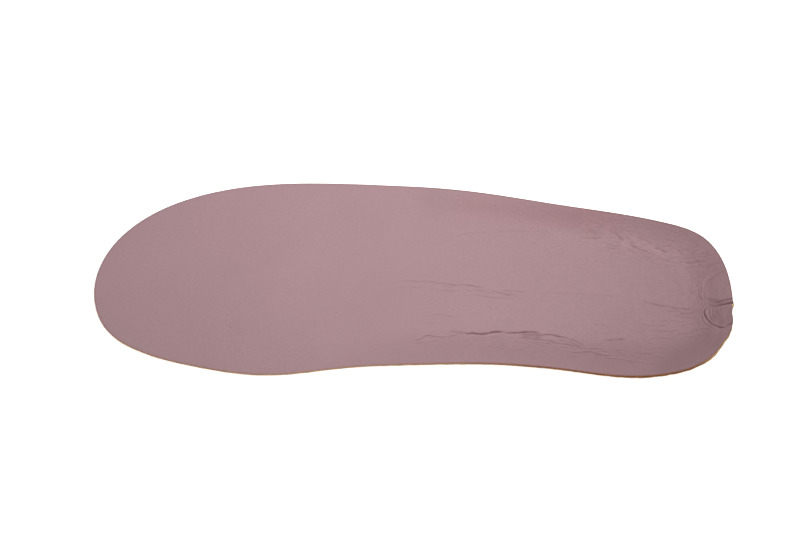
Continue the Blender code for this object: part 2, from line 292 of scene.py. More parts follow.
# Bands of painted shade on the leather, or painted light if negative: half width in mm, share of the colour,
# and a path of (forward, side) points in mm
PAINTED_LIGHT_AND_SHADE_BANDS = (
    ("lower lobe", 3.6, 0.07, ((-118.5, 13), (-120.5, 16), (-121.5, 18.5))),
    ("pleat", 0.9, 0.10, ((-116.5, 10.2), (-119, 10.7), (-126, 10.8))),
    ("upper lobe", 4.0, -0.035, ((-119.5, -3), (-118.5, 2), (-121, 7))),
    ("inner heel wall", 4.5, 0.085, ((-97.5, 37.5), (-103, 33.5), (-109, 27), (-114.5, 24.5))),
    ("outer waist rim", 5.5, 0.08, ((-8, -35), (-27, -31.5), (-50, -28.5), (-64, -25.5))),
    ("arch wall", 5.5, -0.05, ((-22, 30), (-50, 32.5), (-74, 35.5), (-91, 35.5))),
    ("outer heel wall", 4.0, -0.065, ((-86, -18), (-95, -14.5), (-106, -12), (-117.5, -11))),
)

# Bands of pinker leather: half width in mm, share of the pink, and a path of (forward, side) points in mm
BLUSHES = (
    ("outer waist wall", 5.0, 1.0, ((-22, -32.5), (-42, -29), (-60, -27), (-77, -26.5))),
)

# Where the heel's wall is drawn up into hair lines: from none to full, along the foot and in from the rim
DRAWN_ALONG = (-55 * MM, -90 * MM)
DRAWN_IN = (30 * MM, 10 * MM)

# Where the rim near the pleat is pulled in, or out if negative: forward, side, half width and depth in mm
NICKS = (
    (-125.3, 12.0, 1.0, -0.15),
    (-125, 15.6, 2.8, 0.60),
    (-124.5, 21.4, 1.3, 0.20),
    (-119.5, 28.0, 4.5, 0.75),
)
NICK_FADE = 5 * MM

# How finely the meshes are divided: (share of the way, weight) pairs say where the lines crowd together
COVER_STATIONS = 430
COVER_ACROSS = 190
COVER_UNDER = 24
BASE_STATIONS = 300
BASE_ACROSS = 110
BASE_TOP = 16
SPREAD_STEPS = 2000
ALONG_WEIGHTS = ((0, 5.0), (0.06, 5.0), (0.18, 3.6), (0.24, 2.2), (0.5, 2.0), (0.58, 0.6), (0.95, 0.5),
                 (1, 2.0))
ACROSS_WEIGHTS = ((0, 1.6), (0.06, 1.1), (0.38, 0.8), (0.44, 1.7), (0.58, 1.7), (0.65, 0.9), (0.73, 1.7),
                  (0.86, 1.6), (0.94, 1.1), (1, 1.6))
BASE_WEIGHTS = ((0, 2.2), (0.12, 1.2), (0.5, 0.9), (0.88, 1.2), (1, 2.2))

# The leather's cut edge, from the rim down: shares of the bevel and of the thickness. The bevel is widest at
# the heel, where the edge faces the inner side, and where the pleat ends.
LEATHER_EDGE = ((0.12, 0.06), (0.34, 0.25), (0.60, 0.5), (0.88, 0.8), (1.0, 1.0))
BEVEL = (0.11 * MM, 0.52 * MM)
BEVEL_SPAN = (-90 * MM, -20 * MM)
BEVEL_FACING = (-0.1, 0.8)
PLEAT_END = (-124.9 * MM, 12.7 * MM)
PLEAT_END_SIZE = 1.1 * MM
PLEAT_END_BEVEL = 0.50 * MM

# How ragged the cut edges are: size and depth of the unevenness, and the share of it that the front lacks
FINE_RAG = 0.9 * MM
FINE_RAG_DEPTH = 0.07 * MM
COARSE_RAG = 2.8 * MM
INNER_RAG_DEPTH = 0.24 * MM
OUTER_RAG_DEPTH = 0.05 * MM
FRONT_TRIM = 0.6
BASE_LIP = 0.12 * MM
BASE_EDGE_STEPS = 7
CORK_RAG = (0.7 * MM, 2.5 * MM)
CORK_RAG_DEPTH = 0.10 * MM

# Where the cut edge is pale, from none to full, and how pale
PALE_CORNER = 0.6
PALE_CORNER_X = (-109 * MM, -119 * MM)
PALE_CORNER_Y = (19 * MM, 23 * MM)
PALE_FRONT = 0.45
PALE_FRONT_X = (-45 * MM, -5 * MM)

# Loose fibres of the cut edge; the bend, radius and shortest are shares of the length
FIBRE_COUNT = 1100
FIBRE_LENGTH = 0.5 * MM
FIBRE_SHORTEST = 0.35
FIBRE_RADIUS = 0.07
FIBRE_SIDES = 3
FIBRE_STEPS = 4
FIBRE_BEND = {"Start": (0, 0, 0), "Middle": (0.1, 0, 0.6), "End": (0.5, 0.15, 1)}
FIBRE_SCATTER = 0.9
FIBRE_SEED = 7

# Patterns that the materials share; SIDES are the values where a pattern starts and is full
CLOUD_DETAIL = 2.0
CLOUD_SIDES = (0.3, 0.7)
MOTTLE_NOISE = {"Detail": 4.0, "Roughness": 0.55}
TUFT_NOISE = {"Detail": 5.0, "Roughness": 0.65, "Distortion": 1.6}
TUFT_SIDES = (0.32, 0.68)
STRING_NOISE = {"Detail": 3.0, "Roughness": 0.6}
STRINGS_PER_TUFT = 3.0
STRING_HEIGHT = 0.35

# Dyed leather: its colours and its broad patches
MAUVE = (0.365, 0.228, 0.246, 1)
PINK = (0.365, 0.213, 0.230, 1)
# The crease colours below: what dirt and painted shade darken the leather towards
FAINT_CRACK_AND_SHADE = (0.20, 0.082, 0.064, 1)
DEEP_CRACK_AND_SHADE = (0.095, 0.042, 0.042, 1)
BARE_HIDE = (0.72, 0.52, 0.28, 1)
BARE_SIDES = (0.6, 0.85)
MAUVE_PATCH = 30 * MM
MAUVE_SWING = 0.06
REAR_SPAN = (-25 * MM, 25 * MM)

# Dyed leather: sizes of its fine patterns. Pebbles, pores and hair lines are counted per metre, and FRAY and
# LINE_SIDES are in mm.
FRAY_SIZE = 0.35 * MM
FRAY = 0.20
LINE_SIDES = (0.02, 0.23)
HAIRS_ALONG = 70.0
HAIRS_INWARD = 1100.0
HAIR_WIDTH = 0.07
RUCK_SIZE = 0.75 * MM
RUCK_STRETCH = 0.28
RUCK_DETAIL = 3.0
SPECK_CELL = 15 * MM
SPECK_SIDES = (0.010, 0.030)
SPECK_LOT = 0.72
SPECKLE_SIZE = 0.5 * MM
SPECKLE_DRAG = (0.4, 1.0, 1.0)
PEBBLES = 1900.0
PEBBLE_BEND = (900.0, 0.0004)
PEBBLE_SIDES = (0.0, 0.28)
PORES = 700.0
PORE_SIDES = (0.05, 0.12)
POWDER_SIZE = 0.2 * MM

# Dyed leather: how much each pattern tints the colour, darkens it with dirt and painted shade, dulls the
# satin and stands up
SPECKLE_TINT = (0.96, 1.04)
# Painted shade in the rucks' hollows and a painted highlight on their tops, as shares of the colour
RUCK_SHADE_AND_HIGHLIGHT = (-0.10, 0.07)
# Lighter on the creases' raised shoulders: partly wear, partly a painted highlight
CREST_WEAR_AND_HIGHLIGHT = 0.13
# The two below darken the crease lines: dirt and painted shade
LINE_DIRT_AND_SHADE = 0.30
DEEP_DIRT_AND_SHADE = 0.45
# Painted shade beside the creases' troughs, as a share of the colour
PAINTED_CREASE_SHADE = 0.14
HAIR_SOIL = 0.06
SPECK_SOIL = 0.25
# The three below are painted shade in a thin band along the rim, more of it at the heel
PAINTED_RIM_SHADE = 0.25
PAINTED_REAR_RIM_SHADE = 0.35
PAINTED_RIM_SHADE_WIDTH = 0.75 * MM
SATIN = (0.56, 0.68)
SATIN_GLOSS = 0.22
SHADE_DULL = 0.15
RUCK_HEIGHT = 1.5
HAIR_HEIGHT = 0.4
SPECKLE_HEIGHT = 0.5
PEBBLE_HEIGHT = 0.6
PORE_HEIGHT = 0.5
POWDER_HEIGHT = 0.25

# Relief of each material: the height of its bumps, and their strength
CREASE_BUMP = (0.10 * MM, 0.8)
GRAIN_BUMP = (0.03 * MM, 0.7)
HIDE_BUMP = (0.08 * MM, 0.8)
CORK_BUMP = (0.10 * MM, 0.7)

# Raw hide; the pale layer and the golden lip are shares of the way down the cut edge
HIDE_DARK = (0.095, 0.024, 0.001, 1)
HIDE_LIGHT = (0.30, 0.094, 0.008, 1)
HIDE_PALE = (0.36, 0.20, 0.12, 1)
HIDE_GOLD = (0.64, 0.42, 0.17, 1)
HIDE_TUFT = 0.8 * MM
HIDE_PATCH = 3.5 * MM
HIDE_SWING = 0.6
HIDE_ROUGH = 0.9
HIDE_GLOSS = 0.25
PALE_LAYER = (0.10, 0.40)
PALE_LAYER_SHARE = 0.20
GOLD_LIP = (0.45, 0.85)
GOLD_LIP_SHARE = 0.35

# Cork and latex; granules are counted per metre
CORK_DARKEST = (0.11, 0.042, 0.016, 1)
CORK_TONES = ((0.35, (0.22, 0.095, 0.035, 1)), (0.7, (0.30, 0.14, 0.055, 1)))
CORK_PALEST = (0.40, 0.21, 0.09, 1)
LATEX = (0.12, 0.05, 0.022, 1)
GRANULES = 620.0
GRANULE_BEND = (600.0, 0.0006)
JOINT_WIDTH = 0.1
CORK_PATCH = 14 * MM
CORK_SWING = 0.22
CORK_TUFT = 0.5 * MM
CORK_TUFT_HEIGHT = 0.4
CORK_ROUGH = 0.85
CORK_GLOSS = 0.3

# Camera: 70 degrees up, with a long lens; the aim point is on the floor
CAMERA_ELEVATION = math.radians(70)
CAMERA_DISTANCE = 1.2
CAMERA_AIM = Vector((4.975 * MM, -8.725 * MM, 0))
CAMERA_REACH = 10
PIXELS_PER_METRE = 2522.5
PICTURE_WIDTH = 800
SENSOR = 36.0

# The setting: floor, room and softbox
WHITE = (1, 1, 1, 1)
FLOOR_COLOUR = (0.93, 0.93, 0.93, 1)
FLOOR_ROUGH = 0.9
FLOOR_GLOW = 0.86
FLOOR_HALF = 3.0
FLOOR_LEVEL = -0.02 * MM
ROOM_LIGHT = 0.30
SOFTBOX_PLACE = Vector((-0.071, 0.013, 0.41))
SOFTBOX_AIM = Vector((0.035, -0.088, 0))
SOFTBOX_SIZE = 0.25
SOFTBOX_POWER = 0.415
SOFTBOX_SPREAD = math.radians(82)


def column(table, columns, name):
    """One column of a table as an array."""
    place = columns.index(name)
    return np.array([row[place] for row in table], dtype=float)


def closed_spline(knots, values, at):
    """Smooth closed curve through the values; knots has one more entry than values."""
    count = len(values)
    span = np.diff(knots)
    slope = (np.roll(values, -1) - values) / span
    system = np.zeros((count, count))
    for i in range(count):
        system[i, i - 1] += span[i - 1]
        system[i, i] += 2 * (span[i - 1] + span[i])
        system[i, (i + 1) % count] += span[i]
    bend = np.linalg.solve(system, 6 * (slope - np.roll(slope, 1)))
    i = np.clip(np.searchsorted(knots, at, side="right") - 1, 0, count - 1)
    j = (i + 1) % count
    after = at - knots[i]
    before = knots[i + 1] - at
    line = (values[i] * before + values[j] * after) / span[i]
    curve_i = bend[i] * (before**3 / span[i] - span[i] * before)
    curve_j = bend[j] * (after**3 / span[i] - span[i] * after)
    return line + (curve_i + curve_j) / 6


def blended(knots, values, at):
    """A column between its places: straight from place to place, then smoothed along the edge."""
    line = np.interp(at, knots, np.append(values, values[0]))
    reach = int(EDGE_BLEND / (at[1] - at[0]))
    window = np.hanning(2 * reach + 1)
    ring = np.concatenate([line[-reach:], line, line[:reach]])
    return np.convolve(ring, window / window.sum(), mode="valid")


def inward(x, y):
    """Unit vectors that point in from a closed curve's samples, which run clockwise seen from above."""
    along_x = np.roll(x, -1) - np.roll(x, 1)
    along_y = np.roll(y, -1) - np.roll(y, 1)
    length = np.hypot(along_x, along_y)
    return along_y / length, -along_x / length


def trace_edge():
    """The rim seen from above, the wall's sizes along it, and where the wall starts on each face."""
    x = column(EDGE, EDGE_COLUMNS, "forward") * PERCENT * LENGTH + CENTRING[0]
    y = column(EDGE, EDGE_COLUMNS, "side") * PERCENT * BALL_WIDTH + CENTRING[1]
    wall = column(EDGE, EDGE_COLUMNS, "wall") * MM
    chord = np.hypot(np.roll(x, -1) - x, np.roll(y, -1) - y)
    knots = np.concatenate([[0], np.cumsum(chord)])
    at = np.linspace(0, knots[-1], len(EDGE) * SAMPLES_PER_PLACE, endpoint=False)
    rim_x, rim_y = closed_spline(knots, x, at), closed_spline(knots, y, at)
    sample_at_place = np.searchsorted(at, knots[:-1])
    in_x, in_y = (part[sample_at_place] for part in inward(rim_x, rim_y))

    def root_line(reach):
        return closed_spline(knots, x + in_x * reach, at), closed_spline(knots, y + in_y * reach, at)

    return {
        "rim": (rim_x, rim_y),
        "in": inward(rim_x, rim_y),
        "top root": root_line(wall),
        "under root": root_line(wall * UNDER_WALL),
        "rise": blended(knots, column(EDGE, EDGE_COLUMNS, "rise") * PERCENT * CUP_RISE, at),
        "flare": blended(knots, column(EDGE, EDGE_COLUMNS, "flare"), at),
        "toe": sample_at_place[TOE_TIP],
    }


EDGE_CURVE = trace_edge()


def smooth(share):
    """0 to 1 with level ends."""
    share = np.clip(share, 0, 1)
    return share * share * (3 - 2 * share)


def between(value, start, end):
    """0 up to start and 1 from end on, with level ends; start may be the larger of the two."""
    return smooth((value - start) / (end - start))


def bell(gap, width):
    """1 where there is no gap, falling smoothly to almost 0 at twice the width."""
    return np.exp(-((gap / width) ** 2))


def measure(line, x, y):
    """Each point's distance inside a closed line, and the sample and share of a step where it is nearest."""
    ax, ay = EDGE_CURVE[line]
    bx, by = np.roll(ax, -1) - ax, np.roll(ay, -1) - ay
    found = []
    for start in range(0, len(x), CHUNK):
        px = x[start:start + CHUNK, None] - ax
        py = y[start:start + CHUNK, None] - ay
        along = np.clip((px * bx + py * by) / (bx * bx + by * by), 0, 1)
        gap = np.hypot(px - along * bx, py - along * by)
        i = gap.argmin(axis=1)
        rows = np.arange(len(i))
        inside = px[rows, i] * by[i] - py[rows, i] * bx[i]
        found.append((np.copysign(gap[rows, i], inside), i, along[rows, i]))
    return tuple(np.concatenate(part) for part in zip(*found))


def wall_rise(root, x, y, extra):
    """Height of the wall over the floor: 0 inside its root line, the rim's rise plus extra at the rim."""
    to_rim, i, share = measure("rim", x, y)
    past_root = np.maximum(-measure(root, x, y)[0], 0)
    q = past_root / np.maximum(past_root + np.maximum(to_rim, 0), WELD)

    def at_rim(name):
        values = EDGE_CURVE[name]
        return values[i] * (1 - share) + np.roll(values, -1)[i] * share

    flare = at_rim("flare")
    return (at_rim("rise") + extra) * ((1 - flare) * q * q + flare * smooth(q))


def underside_lift(x):
    """Height of the flat underside along the foot: 0 where it rests."""
    rear, front = WAIST_SPAN
    waist = np.clip((x - rear) / (front - rear), 0, 1)
    spring = np.clip((x - SPRING_START) / (LENGTH / 2 - SPRING_START), 0, 1)
    return WAIST_LIFT * np.sin(np.pi * waist) ** 2 + TOE_SPRING * spring**2


def base_thickness(x):
    """Thickness of the footbed inside its wall."""
    return HEEL_BASE + (FOREFOOT_BASE - HEEL_BASE) * between(x, *THINNING)


def grain_height(x, y):
    """Height of the leather's upper face, without its creases."""
    floor = underside_lift(x) + base_thickness(x) + BOND_GAP + LEATHER
    return floor + wall_rise("top root", x, y, 0)


def under_height(x, y):
    """Height of the footbed's lower face."""
    return underside_lift(x) + wall_rise("under root", x, y, base_thickness(x) - RIM_BASE)


def grain_normal(x, y):
    """Unit normals of the leather's upper face, which point up."""
    step = SLOPE_STEP
    slope_x = (grain_height(x + step, y) - grain_height(x - step, y)) / (2 * step)
    slope_y = (grain_height(x, y + step) - grain_height(x, y - step)) / (2 * step)
    normal = np.stack([-slope_x, -slope_y, np.ones_like(x)], axis=-1)
    return normal / np.linalg.norm(normal, axis=-1, keepdims=True)


def spread(count, weights):
    """count + 1 shares from 0 to 1, closer together where the weight is larger."""
    at = np.linspace(0, 1, SPREAD_STEPS + 1)
    density = np.interp(at, *zip(*weights))
    run = np.concatenate([[0], np.cumsum((density[1:] + density[:-1]) / 2)])
    return np.interp(np.linspace(0, run[-1], count + 1), run, at)


def side_points(samples, shares):
    """Rim points and outward directions at shares of the length of one side, heel to toe."""
    x, y = (part[samples] for part in EDGE_CURVE["rim"])
    in_x, in_y = (part[samples] for part in EDGE_CURVE["in"])
    run = np.concatenate([[0], np.cumsum(np.hypot(np.diff(x), np.diff(y)))])
    at = shares * run[-1]
    points = np.stack([np.interp(at, run, x), np.interp(at, run, y)], axis=-1)
    out = -np.stack([np.interp(at, run, in_x), np.interp(at, run, in_y)], axis=-1)
    return points, out / np.linalg.norm(out, axis=-1, keepdims=True)


def both_sides(shares):
    """The outer and the inner side's rim points and outward directions, heel to toe."""
    count, toe = len(EDGE_CURVE["rise"]), EDGE_CURVE["toe"]
    outer = side_points(np.arange(count, toe - 1, -1) % count, shares)
    inner = side_points(np.arange(0, toe + 1), shares)
    return outer, inner


def fold_path(points):
    """A smooth path through a fold's points, in metres."""
    points = np.array(points, dtype=float) * MM
    ends = np.concatenate([[2 * points[0] - points[1]], points, [2 * points[-1] - points[-2]]])
    path = []
    for a, b, c, d in zip(ends, ends[1:], ends[2:], ends[3:]):
        for t in np.arange(FOLD_STEPS) / FOLD_STEPS:
            path.append(0.5 * (2 * b + (c - a) * t + (2 * a - 5 * b + 4 * c - d) * t**2
                               + (3 * b - a - 3 * c + d) * t**3))
    return np.array(path + [points[-1]])


def nearest_on(line, x, y):
    """Each point's distance to an open line, how far along that is and on which side, and the line's run."""
    step = np.diff(line, axis=0)
    run = np.concatenate([[0], np.cumsum(np.hypot(*step.T))])
    px, py = x[:, None] - line[:-1, 0], y[:, None] - line[:-1, 1]
    along = np.clip((px * step[:, 0] + py * step[:, 1]) / (step**2).sum(axis=1), 0, 1)
    gap = np.hypot(px - along * step[:, 0], py - along * step[:, 1])
    i = gap.argmin(axis=1)
    rows = np.arange(len(x))
    side = np.sign(px[rows, i] * step[i, 1] - py[rows, i] * step[i, 0])
    return gap[rows, i], run[i] + along[rows, i] * (run[i + 1] - run[i]), side, run


def press_fold(face, x, y, fold, shoulder, lean, seed):
    """Press one fold into the leather's face, and note how near and how deep it is."""
    depth, width, path = fold[0] * MM, fold[1] * MM, fold_path(fold[2])
    reach = FOLD_REACH * width
    low, high = path.min(axis=0) - reach, path.max(axis=0) + reach
    near = np.nonzero((x > low[0]) & (x < high[0]) & (y > low[1]) & (y < high[1]))[0]
    if not len(near):
        return
    gap, at, side, run = nearest_on(path, x[near], y[near])

    def unsteady(size, row):
        return np.interp(at, run, [noise.noise((r / size, seed, row)) for r in run])

    offset = side * gap + WANDER * unsteady(WANDER_RUN, WANDER_ROW)
    gap = np.abs(offset)
    share = at / run[-1]
    fade = smooth(share / FOLD_TAPER) * smooth((1 - share) / FOLD_TAPER)
    fade = fade * (1 + UNEVEN * unsteady(UNEVEN_RUN, UNEVEN_ROW))
    swale = bell(gap, SWALE_WIDTH * width * (1 + lean * side))
    ridge = bell(gap - RIDGE_AT * width, RIDGE_WIDTH * width)
    shape = shoulder * ridge - (1 - SWALE) * bell(gap, width) - SWALE * swale
    face["height"][near] += RELIEF * depth * fade * shape
    if width > BROAD:
        return
    deep = fade * min(depth / FULL_MARK, 1)
    # shade is painted shade around the trough; crest marks the shoulders for a lighter colour, partly wear
    # and partly a painted highlight
    for name, value in (("shade", bell(gap, SHADE_WIDTH)), ("crest", CREST * shoulder * ridge)):
        face[name][near] = np.maximum(face[name][near], deep * value)
    weight = deep * bell(gap, MARK_WIDTH * width)
    line = deep * (1 - smooth((gap - LINE_FADE) / LINE_FADE))
    won = weight > face["weight"][near]
    face["weight"][near[won]] = weight[won]
    face["deep"][near[won]] = line[won]
    face["gap"][near[won]] = np.clip(offset[won] / MM, -FARTHEST_GAP, FARTHEST_GAP)


def field(x, y, size):
    """Smooth random values, about -1 to 1, that change over the given size."""
    return np.array([noise.noise((a / size, b / size, FIELD_SLICE)) for a, b in zip(x, y)])


def crease_face(x, y, to_rim):
    """The leather's face: its change of height from creases, waves and worn rim, and its nearest crease."""
    face = {name: np.zeros_like(x) for name in ("height", "weight", "deep", "shade", "crest")}
    face["gap"] = np.full_like(x, FARTHEST_GAP)
    for zone, (_, shoulder, lean, folds) in enumerate(FOLDS):
        for number, fold in enumerate(folds):
            press_fold(face, x, y, fold, shoulder, lean, ZONE_SEED * zone + FOLD_SEED * number)
    height = face["height"]
    height = np.where(height < 0, -DEEPEST * np.tanh(-height / DEEPEST), height)
    height += sum(swing * field(x, y, size) for swing, size in WAVES)
    face["height"] = height - RIM_WEAR * bell(to_rim, RIM_WEAR_WIDTH)
    return face


def rucked(x, y):
    """How finely rucked the leather is, and where each point lies along and across the nearest path."""
    ruck = {name: np.zeros_like(x) for name in ("ruck", "ruck_along", "ruck_across")}
    for _, half_width, strength, points in RUCKS:
        gap, at, side, run = nearest_on(fold_path(points), x, y)
        ends = smooth(at / RUCK_FADE) * smooth((run[-1] - at) / RUCK_FADE)
        weight = strength * ends * bell(gap, half_width * MM)
        won = weight > ruck["ruck"]
        for name, values in zip(ruck, (weight, at, side * gap)):
            ruck[name][won] = values[won]
    return ruck


def banded(table, x, y):
    """How strongly a table's bands change the leather's colour."""
    share = np.zeros_like(x)
    for _, half_width, amount, points in table:
        share += amount * bell(nearest_on(fold_path(points), x, y)[0], half_width * MM)
    return share


def pleat_end(x, y):
    """1 at the rim where the pleat ends, 0 away from it."""
    return bell(np.hypot(x - PLEAT_END[0], y - PLEAT_END[1]), PLEAT_END_SIZE)


def pale_edge(x, y):
    """How pale the cut edge is: most where the pleat ends, then at the heel's inner corner and in front."""
    corner = between(x, *PALE_CORNER_X) * between(y, *PALE_CORNER_Y)
    front = between(x, *PALE_FRONT_X)
    return np.maximum.reduce([pleat_end(x, y), PALE_CORNER * corner, PALE_FRONT * front])


def pull_in(x, y):
    """How far the rim's nicks move points in along X and Y."""
    to_rim, i, _ = measure("rim", x, y)
    in_x, in_y = (part[i] for part in EDGE_CURVE["in"])
    depth = np.zeros_like(x)
    for forward, side, half_width, deep in NICKS:
        depth += deep * MM * bell(np.hypot(x - forward * MM, y - side * MM), half_width * MM)
    depth *= 1 - smooth(to_rim / NICK_FADE)
    return depth * in_x, depth * in_y


def put_in_scene(name, data):
    """A new object, linked to the scene."""
    item = bpy.data.objects.new(name, data)
    bpy.context.scene.collection.objects.link(item)
    return item


def set_mark(mesh, name, kind, part, values):
    """Values on a mesh's points, for a material or a node tree to read."""
    mesh.attributes.new(name, kind, "POINT").data.foreach_set(part, values.ravel().astype(np.float32))


def close_skin(mesh):
    """Weld a skin's seams and turn its faces outwards."""
    bm = bmesh.new()
    bm.from_mesh(mesh)
    bmesh.ops.remove_doubles(bm, verts=bm.verts, dist=WELD)
    bmesh.ops.recalc_face_normals(bm, faces=bm.faces)
    if bm.calc_volume(signed=True) < 0:
        bmesh.ops.reverse_faces(bm, faces=bm.faces)
    bm.to_mesh(mesh)
    bm.free()


def ring_piece(name, rings, marks, slots, materials):
    """A closed skin over rings of points, heel to toe; the first and last ring close on themselves."""
    stations, size = rings.shape[:2]
    first = np.arange(stations - 1)[:, None] * size
    j = np.arange(size)
    k = (j + 1) % size
    quads = np.stack([first + j, first + k, first + size + k, first + size + j], axis=-1)
    mesh = bpy.data.meshes.new(name)
    mesh.from_pydata(rings.reshape(-1, 3).tolist(), [], quads.reshape(-1, 4).tolist())
    for key, values in marks.items():
        set_mark(mesh, key, "FLOAT", "value", values)
    mesh.polygons.foreach_set("material_index", np.tile(slots, stations - 1).astype(np.int32))
    close_skin(mesh)
    mesh.shade_smooth()
    for material in materials:
        mesh.materials.append(material)
    return put_in_scene(name, mesh)


def rows_between(start, end, shares):
    """Points at shares of the way from each start point to its end point."""
    return start[:, None] + (end - start)[:, None] * shares[:, None]


def section(outer, inner, shares):
    """Plan points across each station, from the outer to the inner rim, as flat arrays."""
    grid = rows_between(outer, inner, shares)
    return grid[..., 0].ravel(), grid[..., 1].ravel()


def face_rows(x, y, height, stations, shift=(0, 0)):
    """A face's points, one row for each station, with the rim's nicks and a shift in plan."""
    move_x, move_y = pull_in(x, y)
    points = np.stack([x + move_x + shift[0], y + move_y + shift[1], height], axis=-1)
    return points.reshape(stations, -1, 3)


def below_grain(x, y, thickness):
    """Height of a face that lies a thickness under the leather's upper face."""
    return grain_height(x, y) - thickness / grain_normal(x, y)[:, 2]


def flat_out(out):
    """Outward plan directions as level 3-D vectors."""
    return np.concatenate([out, np.zeros((len(out), 1))], axis=1)


def ragged(points, size, depth):
    """A small uneven step for each point of a cut edge."""
    swing = [noise.noise(Vector(p) / size) for p in points.reshape(-1, 3)]
    return depth * np.array(swing).reshape(points.shape[:-1])


def leather_edge(rim, foot, out, coarse_depth):
    """Rows of points down the leather's ragged cut edge, from its rim to its foot."""
    share, down = np.array(LEATHER_EDGE).T
    rows = rows_between(rim, foot, down)
    front = between(rim[:, 0], *BEVEL_SPAN)
    facing = between(out[:, 1], *BEVEL_FACING)
    bevel = BEVEL[0] + (BEVEL[1] - BEVEL[0]) * (1 - front) * facing
    bevel += PLEAT_END_BEVEL * pleat_end(rim[:, 0], rim[:, 1])
    uneven = ragged(rows, FINE_RAG, FINE_RAG_DEPTH)
    uneven += ragged(rows, COARSE_RAG, coarse_depth) * (1 - FRONT_TRIM * front)[:, None]
    step = bevel[:, None] * share + uneven * np.sqrt(share)
    return rows + step[..., None] * flat_out(out)[:, None]


def face_marks(x, y, to_rim, face):
    """What the dyed leather's material reads on its face."""
    marks = {name: face[name] for name in ("gap", "deep", "shade", "crest")}
    drawn = between(x, *DRAWN_ALONG) * between(to_rim, *DRAWN_IN)
    # tone: painted shade where the bands are positive, painted light where they are negative
    colours = {"tone": banded(PAINTED_LIGHT_AND_SHADE_BANDS, x, y), "blush": banded(BLUSHES, x, y)}
    return {**marks, "inward": to_rim, "drawn": drawn, **colours, **rucked(x, y)}


def leather_cover(grain, raw):
    """The leather: a creased face, a cut edge and a plain flesh side; also the loop that sheds fibres."""
    shares = spread(COVER_STATIONS, ALONG_WEIGHTS)
    (outer, outer_out), (inner, inner_out) = both_sides(shares)
    stations = len(shares)
    x, y = section(outer, inner, spread(COVER_ACROSS, ACROSS_WEIGHTS))
    to_rim = np.maximum(measure("rim", x, y)[0], 0)
    face = crease_face(x, y, to_rim)
    top = face_rows(x, y, grain_height(x, y) + face["height"], stations)
    on_top = face_marks(x, y, to_rim, face)

    x, y = section(outer, inner, np.linspace(1, 0, COVER_UNDER + 1))
    under = face_rows(x, y, below_grain(x, y, LEATHER), stations)
    inner_edge = leather_edge(top[:, -1], under[:, 0], inner_out, INNER_RAG_DEPTH)
    outer_edge = leather_edge(top[:, 0], under[:, -1], outer_out, OUTER_RAG_DEPTH)
    rings = np.concatenate([top, inner_edge, under, outer_edge[:, ::-1]], axis=1)

    across, size = top.shape[1], rings.shape[1]
    cut = np.array([down for _, down in LEATHER_EDGE])
    cut_ring = np.concatenate([np.zeros(across), cut, np.ones(under.shape[1]), cut[::-1]])
    marks = {"cut": np.tile(cut_ring, (stations, 1)), "pale": pale_edge(rings[..., 0], rings[..., 1])}
    for name, values in on_top.items():
        beyond = FARTHEST_GAP if name == "gap" else 0
        rows = values.reshape(stations, -1)
        marks[name] = np.pad(rows, ((0, 0), (0, size - across)), constant_values=beyond)
    slots = np.where(np.arange(size) < across - 1, 0, 1)
    fringe = np.concatenate([inner_edge[:, -2], outer_edge[::-1, -2]])
    fringe_out = np.concatenate([flat_out(inner_out), flat_out(outer_out)[::-1]])
    return ring_piece("creased_cover", rings, marks, slots, (grain, raw)), fringe, fringe_out


def cork_edge(top, bottom, out):
    """Rows of points down the footbed's grainy cut edge."""
    shares = np.linspace(0, 1, BASE_EDGE_STEPS + 2)[1:-1]
    rows = rows_between(top, bottom, shares)
    uneven = sum(ragged(rows, size, CORK_RAG_DEPTH) for size in CORK_RAG)
    step = (BASE_LIP + uneven) * np.sin(np.pi * shares)
    return rows + step[..., None] * flat_out(out)[:, None]


def cork_footbed(cork):
    """The footbed: a top that follows the leather's lower face, a cut edge and a moulded underside."""
    shares = spread(BASE_STATIONS, ALONG_WEIGHTS)
    (outer, outer_out), (inner, inner_out) = both_sides(shares)
    stations = len(shares)
    x, y = section(outer, inner, np.linspace(0, 1, BASE_TOP + 1))
    upper = face_rows(x, y, below_grain(x, y, LEATHER + BOND_GAP), stations)

    x, y = section(outer, inner, spread(BASE_ACROSS, BASE_WEIGHTS)[::-1])
    to_rim, i, _ = measure("rim", x, y)
    flat_rim = 1 - smooth(EDGE_CURVE["rise"][i] / CUP_RISE)
    lean = EDGE_LEAN * flat_rim * (1 - smooth(to_rim / LEAN_REACH))
    lower = face_rows(x, y, under_height(x, y), stations, [lean * part[i] for part in EDGE_CURVE["in"]])

    inner_edge = cork_edge(upper[:, -1], lower[:, 0], inner_out)
    outer_edge = cork_edge(lower[:, -1], upper[:, 0], outer_out)
    rings = np.concatenate([upper, inner_edge, lower, outer_edge], axis=1)
    return ring_piece("cork_footbed", rings, {}, np.zeros(rings.shape[1]), (cork,))


